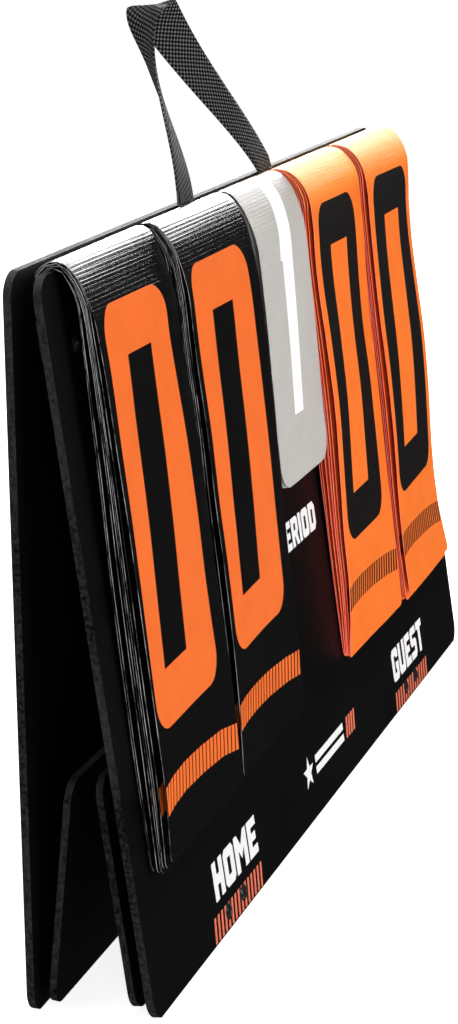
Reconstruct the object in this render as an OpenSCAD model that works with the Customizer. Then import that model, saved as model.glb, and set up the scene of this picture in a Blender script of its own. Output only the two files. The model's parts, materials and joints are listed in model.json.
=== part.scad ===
// Folding table-top flip scoreboard: two foam boards standing as a narrow
// A-frame, five stacks of flexible flip cards arched over the front board,
// a pair of hinged inner flaps near the floor and a webbing carry handle.
//
// Frame: X runs along the boards (left to right seen from the front), -Y points
// at the reader of the score, +Z is up. The origin is on the floor, under the
// middle of the whole object, so the boards' centre plane is at y = y0.

/* [Boards] */
// Length of both boards
board_w = 610; // [580:1:660]
// Height of the front board, measured up its face
front_h = 353; // [352:0.5:356]
// Height of the rear board, measured up its face
rear_h = 355.5; // [354:0.5:358]
// Thickness of the boards
board_t = 4; // [3.6:0.1:4]
// Corner radius of the boards
corner_r = 12; // [4:1:18]
// Lean of each board from upright, in degrees
tilt = 3.9; // [3.8:0.05:4]
// Distance from the centre plane to the outer face of a board at the floor
half_depth = 32.7; // [32.4:0.1:33.4]

/* [Cards] */
// Width of each team digit card
card_w = 117; // [100:1:117]
// Width of the period card
period_w = 88; // [70:1:90]
// Gap between neighbouring stacks
card_gap = 4; // [3:0.5:6]
// Lower edge of the team cards, measured up the front board
card_low = 66; // [55:1:90]
// Lower edge of the period cards, measured up the front board
period_low = 190; // [150:1:220]
// Thickness of one card
card_t = 0.35; // [0.25:0.05:0.4]
// Cards in the pack behind each shown team card
team_pack = 7; // [2:1:7]
// Cards in the pack behind the shown period card
period_pack = 4; // [2:1:7]

/* [Inner flaps] */
// Length of the inner flaps
flap_w = 600; // [520:1:606]
// Height of the inner flaps
flap_h = 115; // [80:1:118]
// Thickness of the inner flaps
flap_t = 3.5; // [3:0.1:3.5]
// Gap between the front board and its flap
front_gap = 7; // [6.6:0.1:7]
// Gap between the rear board and its flap at the hinge
rear_gap = 4.5; // [4.3:0.1:4.6]
// Lean of the rear flap away from the rear board, in degrees
rear_lean = 6.1; // [5.4:0.1:6.2]
// Distance from the middle of the board to the middle of each hinge tab
tab_x = 181.2; // [150:0.5:220]
// Width of a hinge tab
tab_w = 50; // [38:1:60]

/* [Handle] */
// Distance from the middle to the centre of each handle leg
leg_x = 71; // [60:0.5:80]
// Width of the handle webbing
web_w = 25; // [20:1:27]
// Thickness of the handle webbing
web_t = 1.8; // [1.4:0.1:1.8]
// Height of the handle loop above the rear board
loop_h = 101; // [80:1:120]
// How far the top of the loop leans back
loop_back = 36.5; // [20:0.5:50]

/* [Hidden] */
$fn = 64;

// Stack centres, left to right
x_ones = period_w / 2 + card_gap + card_w / 2;
x_tens = x_ones + card_gap + card_w;

// Arch of the cards over the top edge of the front board. Distances are
// measured in the board's own frame: y inward from its front face, z up it.
apex0 = front_h + 1.35;     // lowest card's inner face at the top, clear of the board
apex_step = 0.42;
front_r0 = 9.4;             // front radius of the lowest card
front_spread = 7;           // front radius of the shown card, less the lowest one's
back_r0 = 7.4;              // back radius of the lowest card
back_step = 0.55;
low_o0 = 1.0;               // stand-off of the lowest card at its lower edge
// Stand-off of the shown card at its lower edge: every stack hangs along one line
function low_out(low) = 4.5 + (low - 66) * 0.0423;
foot_z = 322;               // lower end of the cards behind the board
// The shown card sits a little further out than the step, as it moves
function apex(k, n) = apex0 + apex_step * k + (k == n ? 0.2 : 0);
function fr(k, n) = front_r0 + front_spread * k / n + (k == n ? 0.1 : 0);
function br(k, n) = back_r0 + back_step * k + (k == n ? 0.1 : 0);
function low_o(k, n, low) = low_o0 + (low_out(low) - low_o0) * k / n;
// Angle from the board at which card k hangs from its arch
function hang(k, n, low) =
    let (len = apex(k, n) - fr(k, n) - low, o = low_o(k, n, low))
    asin(fr(k, n) / sqrt(len * len + o * o)) - atan2(o, len);

rivet_r = 2.2;
hole_r = 2.3;
head_r = 4.6;
head_h = 1.7;
tab_t = 1.1;
tab_hole = 12.2;            // half the distance between a tab's two rivets
tab_rivet_z = 9;
flap_rivet_z = 17;
clamp_rivet_z = 317.5;
handle_rivet_z = [300, 337];
top_tab_x = 124;
top_tab_rivet_z = 284;

// Hinge lines of the inner flaps in a board's own frame
fu_r = front_gap / 2;
fu_y = board_t + fu_r;
fu_z = fu_r + 0.8;
ru_r = rear_gap / 2;
ru_y = board_t + ru_r;
ru_z = ru_r + 0.8;
// Top hinge: centre of the webbing bend in a board's own frame
top_z = 296;
top_y = (half_depth - top_z * sin(tilt)) / cos(tilt);
top_r = top_y - board_t - 0.05;

// Centre plane of the boards, so that the origin is under the middle of the
// whole object: the loop's top is its rearmost point, the rivets its foremost
y0 = -(half_depth - (board_t + 0.05 + web_t / 2) * cos(tilt) - rear_h * sin(tilt)
    + loop_back + web_w / 2 * sin(strap_turn(0)) - half_depth - head_h * cos(tilt) + tab_rivet_z * sin(tilt)) / 2;

// ---------------------------------------------------------------- frames
// The front board's own frame: y inward from the front face, z up the board
module lean() { translate([0, -half_depth, 0]) rotate([-tilt, 0, 0]) children(); }
module front_side() { translate([0, y0, 0]) children(); }
// The rear side is its mirror image
module rear_side() { translate([0, y0, 0]) mirror([0, 1, 0]) children(); }
module front_frame() { front_side() lean() children(); }
module rear_frame() { rear_side() lean() children(); }
module along_x(w) { translate([-w / 2, 0, 0]) rotate([90, 0, 90]) linear_extrude(w) children(); }

module rounded(w, h, r) {
    union() {
        translate([-w / 2 + r, 0]) square([w - 2 * r, h]);
        translate([-w / 2, r]) square([w, h - 2 * r]);
        for (x = [-w / 2 + r, w / 2 - r], y = [r, h - r]) translate([x, y]) circle(r);
    }
}
// Rounded only at the lower corners
module tongue(w, h, r) {
    union() {
        translate([-w / 2, r]) square([w, h - r]);
        translate([-w / 2 + r, 0]) square([w - 2 * r, h]);
        for (x = [-w / 2 + r, w / 2 - r]) translate([x, r]) circle(r);
    }
}
// A plate in the X-Z plane whose outer face is at y and which is t thick inward
module plate(y, t) { translate([0, y + t, 0]) rotate([90, 0, 0]) linear_extrude(t) children(); }
module hole(x, z, y0, y1, r) { translate([x, y0, z]) rotate([-90, 0, 0]) cylinder(h = y1 - y0, r = r, $fn = 32); }

// Dome rivet along y: the head's flat is at y0, the set end's flat is at y1
module rivet(x, z, y0, y1, tail_r = 3.4, tail_h = 0.9) {
    translate([x, y0, z]) rotate([-90, 0, 0]) union() {
        rotate_extrude($fn = 40) union() {
            square([rivet_r, y1 - y0]);
            translate([0, -head_h]) intersection() {
                translate([0, (head_r * head_r + head_h * head_h) / (2 * head_h)])
                    circle((head_r * head_r + head_h * head_h) / (2 * head_h), $fn = 96);
                square([head_r, head_h]);
            }
            translate([0, y1 - y0]) square([tail_r, tail_h]);
        }
    }
}

// ---------------------------------------------------------------- boards
module board(h, holes) {
    intersection() {
        lean() difference() {
            plate(0, board_t) translate([0, -1]) rounded(board_w, h + 1, corner_r);
            for (p = holes) hole(p[0], p[1], -1, board_t + 1, hole_r);
        }
        translate([-board_w, -200, 0]) cube([2 * board_w, 400, 500]);
    }
}
tab_holes = [for (x = [-tab_x, tab_x], d = [-tab_hole, tab_hole]) [x + d, tab_rivet_z]];
top_holes = [for (x = [-top_tab_x, top_tab_x], d = [-12, 12]) [x + d, top_tab_rivet_z]];
function clamp_xs(w) = [-w / 2 + 12, 0, w / 2 - 12];
stacks = [[-x_tens, card_w], [-x_ones, card_w], [0, period_w], [x_ones, card_w], [x_tens, card_w]];
clamp_holes = [for (s = stacks) for (x = clamp_xs(s[1])) [s[0] + x, clamp_rivet_z]];
handle_holes = [for (x = [-leg_x, leg_x], z = handle_rivet_z) [x, z]];

module front_board() { color([0.1, 0.1, 0.11]) front_side() board(front_h, concat(tab_holes, top_holes, clamp_holes)); }
module rear_board() { color([0.12, 0.12, 0.13]) rear_side() board(rear_h, concat(tab_holes, top_holes, handle_holes)); }

// ---------------------------------------------------------------- flaps
module flap_plate(y, z) {
    difference() {
        plate(y, flap_t) translate([0, z]) rounded(flap_w, flap_h, 10);
        for (x = [-tab_x, tab_x], d = [-tab_hole, tab_hole]) hole(x + d, flap_rivet_z, y - 1, y + flap_t + 1, hole_r);
    }
}
module rear_flap_frame() {
    rear_frame() translate([0, ru_y, ru_z - ru_r + tab_t / 2]) rotate([-rear_lean, 0, 0])
        translate([0, -ru_y, -(ru_z - ru_r + tab_t / 2)]) children();
}
module front_flap() { color([0.14, 0.14, 0.15]) front_frame() flap_plate(board_t + front_gap, 3); }
module rear_flap() { color([0.14, 0.14, 0.15]) rear_flap_frame() flap_plate(board_t + rear_gap, 3); }

// Webbing tab bent into a U under the hinge line; side -1 is the half on the
// board, side 1 is the half on the flap
module tab_half(yc, zc, r, side) {
    ro = r - 0.05;
    union() {
        // strip up the board or the flap
        translate([0, 0, 0]) along_x(tab_w) union() {
            translate([side < 0 ? yc - ro : yc + ro - tab_t, zc]) square([tab_t, 20]);
            intersection() {
                difference() { translate([yc, zc]) circle(ro, $fn = 64); translate([yc, zc]) circle(ro - tab_t, $fn = 64); }
                translate([side < 0 ? yc - 20 : yc + 0.15, zc - 20]) square([20 - (side < 0 ? 0.15 : 0), 20]);
            }
        }
    }
}
module tabs(yc, zc, r, side) {
    for (x = [-tab_x, tab_x]) difference() {
        translate([x, 0, 0]) tab_half(yc, zc, r, side);
        for (d = [-tab_hole, tab_hole])
            hole(x + d, side < 0 ? tab_rivet_z : flap_rivet_z, yc - 12, yc + 12, hole_r);
    }
}
module tab_front_board() { color([0.06, 0.06, 0.06]) front_frame() tabs(fu_y, fu_z, fu_r, -1); }
module tab_front_flap() { color([0.06, 0.06, 0.06]) front_frame() tabs(fu_y, fu_z, fu_r, 1); }
module tab_rear_board() { color([0.06, 0.06, 0.06]) rear_frame() tabs(ru_y, ru_z, ru_r, -1); }
module tab_rear_flap() { color([0.06, 0.06, 0.06]) rear_flap_frame() tabs(ru_y, ru_z, ru_r, 1); }

// Webbing hinge between the boards, bent over the hinge line near the top
module tab_top() {
    for (x = [-top_tab_x, top_tab_x]) intersection() {
        lean() difference() {
            translate([x, 0, 0]) along_x(tab_w) union() {
                translate([top_y - top_r, top_z - 24]) square([tab_t, 24]);
                intersection() {
                    difference() { translate([top_y, top_z]) circle(top_r, $fn = 96); translate([top_y, top_z]) circle(top_r - tab_t, $fn = 96); }
                    translate([top_y - 20, top_z]) square([40, 20]);
                }
            }
            for (d = [-12, 12]) hole(x + d, top_tab_rivet_z, 0, top_y, hole_r);
        }
        translate([-board_w, -200, 0]) cube([2 * board_w, 199.85, 500]);
    }
}
module tab_top_front() { color([0.06, 0.06, 0.06]) front_side() tab_top(); }
module tab_top_rear() { color([0.06, 0.06, 0.06]) rear_side() tab_top(); }

// ---------------------------------------------------------------- rivets
steel = [0.2, 0.2, 0.21];
module rivets_front_board() {
    color(steel) front_frame() for (p = tab_holes) rivet(p[0], p[1], 0, board_t + 0.1 + tab_t);
}
module rivets_rear_board() {
    color(steel) rear_frame() for (p = tab_holes) rivet(p[0], p[1], 0, board_t + 0.1 + tab_t, 3.2, 0.5);
}
// The flap rivets' heads are on the side away from the board
module flap_rivets(y, gap_r) {
    for (x = [-tab_x, tab_x], d = [-tab_hole, tab_hole])
        mirror([0, 1, 0]) rivet(x + d, flap_rivet_z, -(y + flap_t), -(y - 0.1 - tab_t), 3.2, 0.5);
}
module rivets_front_flap() { color(steel) front_frame() flap_rivets(board_t + front_gap); }
module rivets_rear_flap() { color(steel) rear_flap_frame() flap_rivets(board_t + rear_gap); }
module rivets_top_front() { color(steel) front_frame() for (p = top_holes) rivet(p[0], p[1], 0, board_t + 0.1 + tab_t); }
module rivets_top_rear() { color(steel) rear_frame() for (p = top_holes) rivet(p[0], p[1], 0, board_t + 0.1 + tab_t); }
module rivets_clamps() {
    color(steel) front_frame() for (p = clamp_holes) rivet(p[0], p[1], 0, clamp_out, 3.4, 0.8);
}
module rivets_handle() {
    color(steel) rear_frame() for (p = handle_holes) rivet(p[0], p[1], 0, board_t + 0.1 + web_t, 3.4, 0.8);
}

// ---------------------------------------------------------------- cards
// Cross-section of card k of a stack of n + 1, from its front hang to its foot
module arc_ring(yc, zc, r) {
    difference() { translate([yc, zc]) circle(r + card_t, $fn = 160); translate([yc, zc]) circle(r, $fn = 160); }
}
module card_front_section(k, n, low) {
    zc = apex(k, n) - fr(k, n);
    b = hang(k, n, low);
    len = sqrt(pow(low_o(k, n, low), 2) + pow(zc - low, 2) - pow(fr(k, n), 2));
    // a hair inside the arc, so that the two cross cleanly where they meet
    translate([0, zc]) rotate(b) translate([-fr(k, n) - card_t + 0.05, -len]) square([card_t, len + 0.6]);
}
module card_arch_section(k, n, low) {
    zf = apex(k, n) - fr(k, n);
    zb = apex(k, n) - br(k, n);
    b = hang(k, n, low);
    // front quarter, carried on to where the card hangs straight
    intersection() {
        arc_ring(0, zf, fr(k, n));
        polygon([[0, zf], [0, zf + 40], [-60, zf + 40], [-60, zf - 60 * tan(b)]]);
    }
    // back quarter
    intersection() {
        arc_ring(0, zb, br(k, n));
        translate([0, zb]) square([40, 40]);
    }
    translate([br(k, n), foot_z]) square([card_t, zb - foot_z]);
}
module pack(w, n, low) {
    for (k = [0:n - 1]) along_x(w) union() {
        card_front_section(k, n, low);
        card_arch_section(k, n, low);
    }
}
// The static upper part of the shown card
module arch(w, n, low) { along_x(w) card_arch_section(n, n, low); }
// The hanging part of the shown card, which flips up
module leaf(w, n, low, r) {
    zc = apex(n, n) - fr(n, n);
    b = hang(n, n, low);
    len = sqrt(pow(low_o(n, n, low), 2) + pow(zc - low, 2) - pow(fr(n, n), 2));
    translate([0, 0, zc]) rotate([b, 0, 0]) translate([0, -fr(n, n) - card_t, -len])
        plate(0, card_t) tongue(w, len - 0.4, r);
}
home_c = [0.98, 0.5, 0.16];
black_c = [0.05, 0.05, 0.05];
grey_c = [0.8, 0.79, 0.77];
module leaf_home_tens() { color(black_c) front_frame() translate([-x_tens, 0, 0]) leaf(card_w, team_pack, card_low, 4); }
module leaf_home_ones() { color(black_c) front_frame() translate([-x_ones, 0, 0]) leaf(card_w, team_pack, card_low, 4); }
module leaf_period() { color(grey_c) front_frame() leaf(period_w, period_pack, period_low, 14); }
module leaf_guest_tens() { color(home_c) front_frame() translate([x_ones, 0, 0]) leaf(card_w, team_pack, card_low, 4); }
module leaf_guest_ones() { color(home_c) front_frame() translate([x_tens, 0, 0]) leaf(card_w, team_pack, card_low, 4); }
module arch_home_tens() { color(black_c) front_frame() translate([-x_tens, 0, 0]) arch(card_w, team_pack, card_low); }
module arch_home_ones() { color(black_c) front_frame() translate([-x_ones, 0, 0]) arch(card_w, team_pack, card_low); }
module arch_period() { color(grey_c) front_frame() arch(period_w, period_pack, period_low); }
module arch_guest_tens() { color(home_c) front_frame() translate([x_ones, 0, 0]) arch(card_w, team_pack, card_low); }
module arch_guest_ones() { color(home_c) front_frame() translate([x_tens, 0, 0]) arch(card_w, team_pack, card_low); }
module pack_home_tens() { color([0.12, 0.12, 0.12]) front_frame() translate([-x_tens, 0, 0]) pack(card_w, team_pack, card_low); }
module pack_home_ones() { color([0.12, 0.12, 0.12]) front_frame() translate([-x_ones, 0, 0]) pack(card_w, team_pack, card_low); }
module pack_period() { color([0.7, 0.7, 0.69]) front_frame() pack(period_w, period_pack, period_low); }
module pack_guest_tens() { color([0.9, 0.35, 0.2]) front_frame() translate([x_ones, 0, 0]) pack(card_w, team_pack, card_low); }
module pack_guest_ones() { color([0.9, 0.35, 0.2]) front_frame() translate([x_tens, 0, 0]) pack(card_w, team_pack, card_low); }

// ---------------------------------------------------------------- clamps
// Outer face of the clamp's plate, the same for every stack
clamp_out = back_r0 + back_step * 7 + 0.1 + card_t + 0.1 + 1.2;
// Block behind the board that the feet of the cards are clamped against
module clamp(w, n) {
    y0 = board_t + 0.05;
    y_in = back_r0 - 0.08;
    y_out = br(n, n) + card_t + 0.08;
    difference() {
        along_x(w) union() {
            translate([y0, foot_z - 9]) square([y_in - y0, 18]);
            translate([y0, foot_z - 9]) square([clamp_out - y0, 8.9]);
            translate([y_out, foot_z - 9]) square([clamp_out - y_out, 18]);
        }
        for (x = clamp_xs(w)) hole(x, clamp_rivet_z, 0, 30, hole_r);
    }
}
module clamp_home_tens() { color([0.16, 0.16, 0.17]) front_frame() translate([-x_tens, 0, 0]) clamp(card_w, team_pack); }
module clamp_home_ones() { color([0.16, 0.16, 0.17]) front_frame() translate([-x_ones, 0, 0]) clamp(card_w, team_pack); }
module clamp_period() { color([0.16, 0.16, 0.17]) front_frame() clamp(period_w, period_pack); }
module clamp_guest_tens() { color([0.16, 0.16, 0.17]) front_frame() translate([x_ones, 0, 0]) clamp(card_w, team_pack); }
module clamp_guest_ones() { color([0.16, 0.16, 0.17]) front_frame() translate([x_tens, 0, 0]) clamp(card_w, team_pack); }

// ---------------------------------------------------------------- handle
module handle_tails() {
    color([0.07, 0.07, 0.07]) rear_frame() for (x = [-leg_x, leg_x]) difference() {
        plate(board_t + 0.05, web_t) translate([x - web_w / 2, 290]) square([web_w, rear_h - 290]);
        for (z = handle_rivet_z) hole(x, z, 0, 20, hole_r);
    }
}
// Centre line of the strap: u runs from -1 at the left leg over 0 at the top to
// 1 at the right leg
leg_y = half_depth - (board_t + 0.05 + web_t / 2) * cos(tilt) - rear_h * sin(tilt);
base_y = leg_y + y0;
base_z = rear_h * cos(tilt) - 1 * sin(tilt);
strap_bend = 0.13;          // roundness of the loop's top
function strap_x(u) = leg_x * u;
function strap_z(u) = base_z + 1.2 + loop_h * (1 - (sqrt(u * u + pow(strap_bend, 2)) - strap_bend)
    / (sqrt(1 + pow(strap_bend, 2)) - strap_bend));
function strap_y(u) = base_y + loop_back * pow(cos(90 * u), 1.4);
// Half a turn of twist from leg to leg, half of it in the bend at the top
function strap_turn(u) = 90 + 90 * (0.5 * u + 0.5 * (2 / (1 + exp(-(u + 0.06) / 0.08)) - 1));
strap_n = 18;
strap_us = [for (i = [0:2 * strap_n]) sign(i - strap_n) * pow(abs(i / strap_n - 1), 1.4)];
function unit(v) = v / norm(v);
function strap_p(i) = let (u = strap_us[i]) [strap_x(u), strap_y(u), strap_z(u)];
function strap_tan(i) = i == 0 ? [0, 0, 1] : i == 2 * strap_n ? [0, 0, -1] : unit(strap_p(i + 1) - strap_p(i - 1));
function strap_w(i) = let (a = [cos(strap_turn(strap_us[i])), sin(strap_turn(strap_us[i])), 0], t = strap_tan(i))
    unit(a - t * (a * t));
function strap_ring(i) = let (p = strap_p(i), w = strap_w(i) * web_w / 2, q = cross(strap_tan(i), strap_w(i)) * web_t / 2)
    [p - w - q, p + w - q, p + w + q, p - w + q];
module handle_loop() {
    rings = 2 * strap_n + 1;
    pts = [for (i = [0:rings - 1]) for (p = strap_ring(i)) p];
    faces = concat([[0, 1, 2, 3]], [[4 * rings - 1, 4 * rings - 2, 4 * rings - 3, 4 * rings - 4]],
        [for (i = [0:rings - 2]) for (j = [0:3]) each
            [[4 * i + j, 4 * i + 4 + j, 4 * i + (j + 1) % 4], [4 * i + (j + 1) % 4, 4 * i + 4 + j, 4 * i + 4 + (j + 1) % 4]]]);
    color([0.07, 0.07, 0.07]) polyhedron(pts, faces, convexity = 6);
}

front_board();
rear_board();
front_flap();
rear_flap();
tab_front_board();
tab_front_flap();
tab_rear_board();
tab_rear_flap();
tab_top_front();
tab_top_rear();
rivets_front_board();
rivets_front_flap();
rivets_rear_board();
rivets_rear_flap();
rivets_top_front();
rivets_top_rear();
rivets_clamps();
handle_tails();
handle_loop();
rivets_handle();
leaf_home_tens();
leaf_home_ones();
leaf_period();
leaf_guest_tens();
leaf_guest_ones();
arch_home_tens();
arch_home_ones();
arch_period();
arch_guest_tens();
arch_guest_ones();
pack_home_tens();
pack_home_ones();
pack_period();
pack_guest_tens();
pack_guest_ones();
clamp_home_tens();
clamp_home_ones();
clamp_period();
clamp_guest_tens();
clamp_guest_ones();
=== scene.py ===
import json
import math
import random

import bmesh
import bpy
import numpy as np
from mathutils import Matrix, Vector, geometry, noise


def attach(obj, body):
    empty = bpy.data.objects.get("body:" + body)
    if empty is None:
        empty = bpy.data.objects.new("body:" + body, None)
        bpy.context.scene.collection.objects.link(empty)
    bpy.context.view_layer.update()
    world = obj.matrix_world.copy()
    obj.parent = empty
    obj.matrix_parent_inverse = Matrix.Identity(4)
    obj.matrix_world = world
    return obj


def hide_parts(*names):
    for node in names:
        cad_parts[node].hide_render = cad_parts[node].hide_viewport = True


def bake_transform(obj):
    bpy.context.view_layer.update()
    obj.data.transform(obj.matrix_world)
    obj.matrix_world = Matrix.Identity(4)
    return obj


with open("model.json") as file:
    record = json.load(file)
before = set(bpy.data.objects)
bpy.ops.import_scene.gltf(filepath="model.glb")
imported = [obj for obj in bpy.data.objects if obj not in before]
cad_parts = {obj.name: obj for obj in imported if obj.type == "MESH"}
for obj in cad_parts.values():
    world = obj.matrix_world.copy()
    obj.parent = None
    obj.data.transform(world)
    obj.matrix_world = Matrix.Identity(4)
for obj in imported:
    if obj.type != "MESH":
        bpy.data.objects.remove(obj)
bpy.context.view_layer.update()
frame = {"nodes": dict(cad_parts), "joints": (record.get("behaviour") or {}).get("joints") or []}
nodes = frame["nodes"]
joints = {j["name"]: j for j in frame["joints"]}

# ------------------------------------------------------------------ frame
# Millimetres in this script; everything is handed to Blender in metres.
MM = 0.001
Y0 = joints["fold"]["pos_m"][1] * 1000  # centre plane of the two boards
TILT = math.radians(3.9)
HALF = 32.7
BOARD_T = 4.0
CT, ST = math.cos(TILT), math.sin(TILT)


def front(x, o, s):
    """Front board's frame: x along it, o outward from its face, s up its face."""
    return Vector((x, Y0 - HALF - o * CT + s * ST, o * ST + s * CT)) * MM


def rear(x, o, s):
    v = front(x, o, s)
    return Vector((v.x, 2 * Y0 * MM - v.y, v.z))


# ------------------------------------------------------------------ camera
yaw, pitch, roll = math.radians(69.87), math.radians(11.019), math.radians(-4.847)
fwd = Vector((math.sin(yaw) * math.cos(pitch), math.cos(yaw) * math.cos(pitch), -math.sin(pitch)))
right0 = Vector((math.cos(yaw), -math.sin(yaw), 0))
up0 = right0.cross(fwd)
right = math.cos(roll) * right0 + math.sin(roll) * up0
up = -math.sin(roll) * right0 + math.cos(roll) * up0
cam_data = bpy.data.cameras.new("camera")
cam = bpy.data.objects.new("camera", cam_data)
bpy.context.scene.collection.objects.link(cam)
m = Matrix.Identity(4)
for i in range(3):
    m[i][0], m[i][1], m[i][2] = right[i], up[i], -fwd[i]
    m[i][3] = (-1316.92, -443.67 + Y0, 506.32)[i] * MM
cam.matrix_world = m
cam_data.sensor_fit = "AUTO"
cam_data.sensor_width = 36
cam_data.lens = 2512.25 / 1024 * 36
cam_data.shift_x = (229 - 184.94) / 1024
cam_data.shift_y = (399.55 - 512) / 1024
cam_data.clip_start, cam_data.clip_end = 0.05, 200
bpy.context.scene.camera = cam


# ------------------------------------------------------------------ materials
class Tree:
    """A small helper for node materials."""

    def __init__(self, name, **principled):
        self.mat = bpy.data.materials.new(name)
        self.mat.use_nodes = True
        self.t = self.mat.node_tree
        self.bsdf = self.t.nodes["Principled BSDF"]
        for k, v in principled.items():
            self.bsdf.inputs[k.replace("_", " ")].default_value = v

    def node(self, kind, ins=None, **props):
        n = self.t.nodes.new(kind)
        for k, v in props.items():
            setattr(n, k, v)
        for k, v in (ins or {}).items():
            if isinstance(v, bpy.types.NodeSocket):
                self.t.links.new(v, n.inputs[k])
            else:
                n.inputs[k].default_value = v
        return n

    def math(self, op, a, b=0.0, clamp=False):
        return self.node("ShaderNodeMath", {0: a, 1: b}, operation=op, use_clamp=clamp).outputs[0]

    def vec(self, a, scale, offset=(0, 0, 0)):
        n = self.node("ShaderNodeMapping", {"Vector": a, "Scale": scale, "Location": offset})
        return n.outputs[0]

    def noise(self, vector, scale, detail=3.0, rough=0.5):
        n = self.node("ShaderNodeTexNoise", {"Vector": vector, "Scale": scale, "Detail": detail, "Roughness": rough})
        return n.outputs["Fac"]

    def ramp(self, fac, stops):
        n = self.node("ShaderNodeValToRGB", {"Fac": fac})
        e = n.color_ramp.elements
        while len(e) < len(stops):
            e.new(0.5)
        for el, (pos, col) in zip(e, stops):
            el.position = pos
            el.color = (*col, 1) if len(col) == 3 else (col[0], col[0], col[0], 1)
        return n.outputs["Color"]

    def bump(self, height, distance, strength=1.0):
        n = self.node("ShaderNodeBump", {"Height": height, "Distance": distance, "Strength": strength})
        self.t.links.new(n.outputs[0], self.bsdf.inputs["Normal"])

    def to(self, socket, name):
        self.t.links.new(socket, self.bsdf.inputs[name])

    def coords(self):
        return self.node("ShaderNodeTexCoord").outputs["Object"]

    def attr(self, name):
        return self.node("ShaderNodeAttribute", attribute_name=name).outputs["Vector"]


def scaled(c, k):
    return tuple(min(1.0, x * k) for x in c)


def vinyl(name, color, rough=0.4, spec=0.4, vary=0.12, coat=0.0, rib=1.0, ribs=0.15, bend=None):
    """Vinyl sheet: fine ribs across the hang, an irregular streak and a faint scrim."""
    t = Tree(name)
    t.bsdf.inputs["Specular IOR Level"].default_value = spec
    t.bsdf.inputs["Coat Weight"].default_value = coat
    t.bsdf.inputs["Coat Roughness"].default_value = 0.3
    a = t.attr("sheet")
    sep = t.node("ShaderNodeSeparateXYZ", {0: a})
    v, x = sep.outputs[1], sep.outputs[0]
    warp = t.noise(t.vec(a, (6, 160, 6)), 1.0, 2.0)
    rib_at = t.math("ADD", t.math("MULTIPLY", v, 2 * math.pi / 0.0021), t.math("MULTIPLY", warp, 7.0))
    broad = t.math("SINE", rib_at)
    fine = t.math("SINE", t.math("MULTIPLY", v, 2 * math.pi / 0.00085))
    cross = t.math("SINE", t.math("MULTIPLY", x, 2 * math.pi / 0.0011))
    streak = t.noise(t.vec(a, (14, 620, 14)), 1.0, 2.0, 0.6)
    soft = t.noise(t.vec(a, (9, 60, 9)), 1.0, 2.0)
    h = t.math("ADD", t.math("MULTIPLY", fine, 0.4 * rib), t.math("MULTIPLY", cross, 0.12 * rib))
    h = t.math("ADD", h, t.math("MULTIPLY", streak, 2.0 * rib))
    h = t.math("ADD", h, t.math("MULTIPLY", soft, 5.0))
    h = t.math("ADD", h, t.math("MULTIPLY", broad, ribs))
    t.bump(h, 0.00008, 1.0)
    cl = t.noise(a, 45.0, 4.0, 0.6)
    tone = t.ramp(cl, [(0.3, scaled(color, 1 - vary)), (0.7, scaled(color, 1 + vary))])
    # painted highlight: with bend given, the card is coloured a light yellow-orange from its foot over the arch top,
    # fading into the card's own colour down the front
    if bend:
        along = t.node("ShaderNodeMapRange", {"Value": v, "From Min": 0.046, "From Max": 0.082}, interpolation_type="SMOOTHSTEP").outputs[0]
        mix = t.node("ShaderNodeMix", {"Factor": along, "A": (*bend, 1), "B": tone}, data_type="RGBA")
        tone = mix.outputs["Result"]
    t.to(tone, "Base Color")
    r = t.math("ADD", t.math("MULTIPLY", t.noise(a, 240.0, 3.0), 0.12), rough - 0.06)
    t.to(r, "Roughness")
    return t.mat


def sheet_edge(name, color, dark, wave=90.0, painted_glow=0.0):
    """Cut edge of a sheet: a light and a dark colour come and go along the cut."""
    t = Tree(name)
    t.bsdf.inputs["Specular IOR Level"].default_value = 0.35
    a = t.attr("sheet")
    f = t.noise(t.vec(a, (0.2, 1, 9)), wave, 5.0, 0.7)
    t.to(t.ramp(f, [(0.42, dark), (0.62, color)]), "Base Color")
    t.bump(t.noise(t.coords(), 1500.0, 2.0), 0.00008, 0.6)
    t.bsdf.inputs["Roughness"].default_value = 0.45
    if painted_glow:  # painted light: the cut glows pink-red by emission, so cut edges that lie in shade read bright
        t.bsdf.inputs["Emission Color"].default_value = (1.0, 0.13, 0.11, 1)
        t.bsdf.inputs["Emission Strength"].default_value = painted_glow
    return t.mat


def foam(name, color, rough=0.5, grain=0.00003, size=900.0, vary=0.35, spec=0.35):
    """Foam board: a matt skin or a cut edge with open cells."""
    t = Tree(name)
    t.bsdf.inputs["Specular IOR Level"].default_value = spec
    a = t.coords()
    f = t.noise(a, size, 4.0, 0.62)
    big = t.noise(a, 14.0, 4.0, 0.55)
    mixed = t.math("ADD", t.math("MULTIPLY", f, 0.65), t.math("MULTIPLY", big, 0.35))
    t.to(t.ramp(mixed, [(0.38, scaled(color, 1 - vary)), (0.62, scaled(color, 1 + vary))]), "Base Color")
    t.bump(f, grain, 1.0)
    t.to(t.math("ADD", t.math("MULTIPLY", big, 0.2), rough - 0.1), "Roughness")
    return t.mat


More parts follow.
